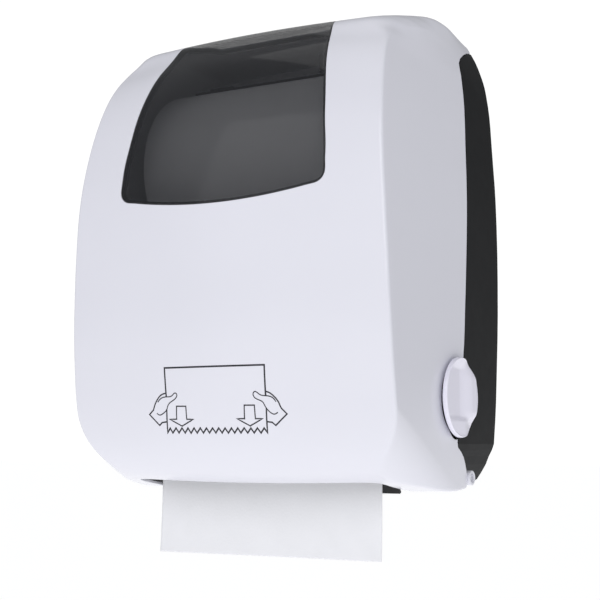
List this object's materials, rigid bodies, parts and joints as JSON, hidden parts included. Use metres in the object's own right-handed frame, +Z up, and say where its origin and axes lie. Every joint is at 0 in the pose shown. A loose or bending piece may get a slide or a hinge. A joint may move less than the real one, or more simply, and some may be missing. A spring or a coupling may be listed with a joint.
{
  "type": "auto-cut paper towel dispenser",
  "caption": "Wall-mounted auto-cut roll towel dispenser with a hinged white cover, smoked window, black rear housing and round side feed knob.",
  "frame": {"origin": "centre of the four wall-screw holes, on the wall plane", "axes": "+Z up, -Y out from the wall towards the user, +X to the user's right when facing the wall"},
  "size_m": [0.2954, 0.1978, 0.4293],
  "materials": {
    "white_abs": "glossy moulded, cool white",
    "black_abs": "fine satin moulded",
    "smoked_pc": "smoked clear plastic, glossy",
    "grey_pom": "satin moulded, mid grey",
    "natural_pom": "satin moulded, natural",
    "steel": "plain",
    "rubber": "matt",
    "cardboard": "wound paperboard",
    "tissue": "soft towel paper",
    "knob_abs": "glossy moulded, pale lavender white"
  },
  "bodies": {
    "root": {"rear_housing": "black_abs", "hinge_pins": "steel", "side_frame_right": "grey_pom", "side_frame_left": "grey_pom", "frame_screws": "steel", "guide_rod": "steel", "paper_chute": "grey_pom", "drum_guard": "black_abs", "drum_bush_right": "natural_pom", "drum_bush_left": "natural_pom", "pawl_pin": "steel", "spring_peg": "steel", "assist_spring": "steel", "knife_cam": "natural_pom", "pinch_springs": "steel", "roll_hub_left": "natural_pom", "roll_arm_left": "grey_pom", "arm_bracket": "grey_pom", "arm_pin": "steel", "paper_web": "tissue", "paper_tail": "tissue"},
    "cover": {"front_cover": "white_abs", "window": "smoked_pc"},
    "lock": {"lock_barrel": "steel", "lock_cam": "steel", "lock_clip": "steel"},
    "drum": {"drum_half_front": "grey_pom", "drum_half_rear": "grey_pom", "grip_strips": "rubber", "drum_shaft": "steel", "ratchet_wheel": "natural_pom", "crank_disc": "natural_pom", "crank_pin": "steel", "feed_knob": "knob_abs", "knob_clip": "steel"},
    "knife": {"knife_carrier": "black_abs", "knife_pivots": "steel", "knife_blade": "steel", "cam_follower": "natural_pom"},
    "pawl": {"pawl": "natural_pom"},
    "pinch_axle": {"pinch_axle": "steel"},
    "pinch_roller": {"pinch_roller": "rubber"},
    "roll": {"roll_core": "cardboard", "paper_roll": "tissue"},
    "right_arm": {"roll_arm_right": "grey_pom", "roll_hub_right": "natural_pom"}
  },
  "joints": [
    {"name": "cover_hinge", "type": "hinge", "parent": "root", "child": "cover", "pos_m": [0, -0.048, -0.1813], "axis": [1, 0, 0], "range_deg": [0, 92]},
    {"name": "lock_turn", "type": "hinge", "parent": "cover", "child": "lock", "pos_m": [0, -0.022, 0.17], "axis": [0, 0, -1], "range_deg": [0, 90]},
    {"name": "drum_spin", "type": "hinge", "parent": "root", "child": "drum", "pos_m": [0, -0.08, -0.12], "axis": [1, 0, 0], "continuous": true, "deforming": ["assist_spring"]},
    {"name": "knife_swing", "type": "hinge", "parent": "drum", "child": "knife", "pos_m": [0, -0.07295, -0.15179], "axis": [1, 0, 0], "range_deg": [0, 20], "stiffness_Nm_per_rad": 0.05},
    {"name": "pawl_swing", "type": "hinge", "parent": "root", "child": "pawl", "pos_m": [0.108, -0.104, -0.094], "axis": [-1, 0, 0], "range_deg": [0, 8], "stiffness_Nm_per_rad": 0.004},
    {"name": "pinch_lift", "type": "slide", "parent": "root", "child": "pinch_axle", "axis": [0, 0, 1], "range_m": [0, 0.0015], "stiffness_N_per_m": 4000, "springref_m": -0.001, "deforming": ["pinch_springs"]},
    {"name": "pinch_spin", "type": "hinge", "parent": "pinch_axle", "child": "pinch_roller", "pos_m": [0, -0.08, -0.0695], "axis": [1, 0, 0], "continuous": true},
    {"name": "roll_spin", "type": "hinge", "parent": "root", "child": "roll", "pos_m": [0, -0.08, 0.07], "axis": [1, 0, 0], "continuous": true},
    {"name": "right_arm_swing", "type": "hinge", "parent": "root", "child": "right_arm", "pos_m": [0.1065, -0.011, 0.07], "axis": [0, 0, 1], "range_deg": [0, 8], "stiffness_Nm_per_rad": 1, "springref_deg": -11.46}
  ],
  "couplings": [
    {"joint": "pinch_spin", "follows": "drum_spin", "ratio": -4},
    {"joint": "roll_spin", "follows": "drum_spin", "ratio": -0.5556}
  ]
}
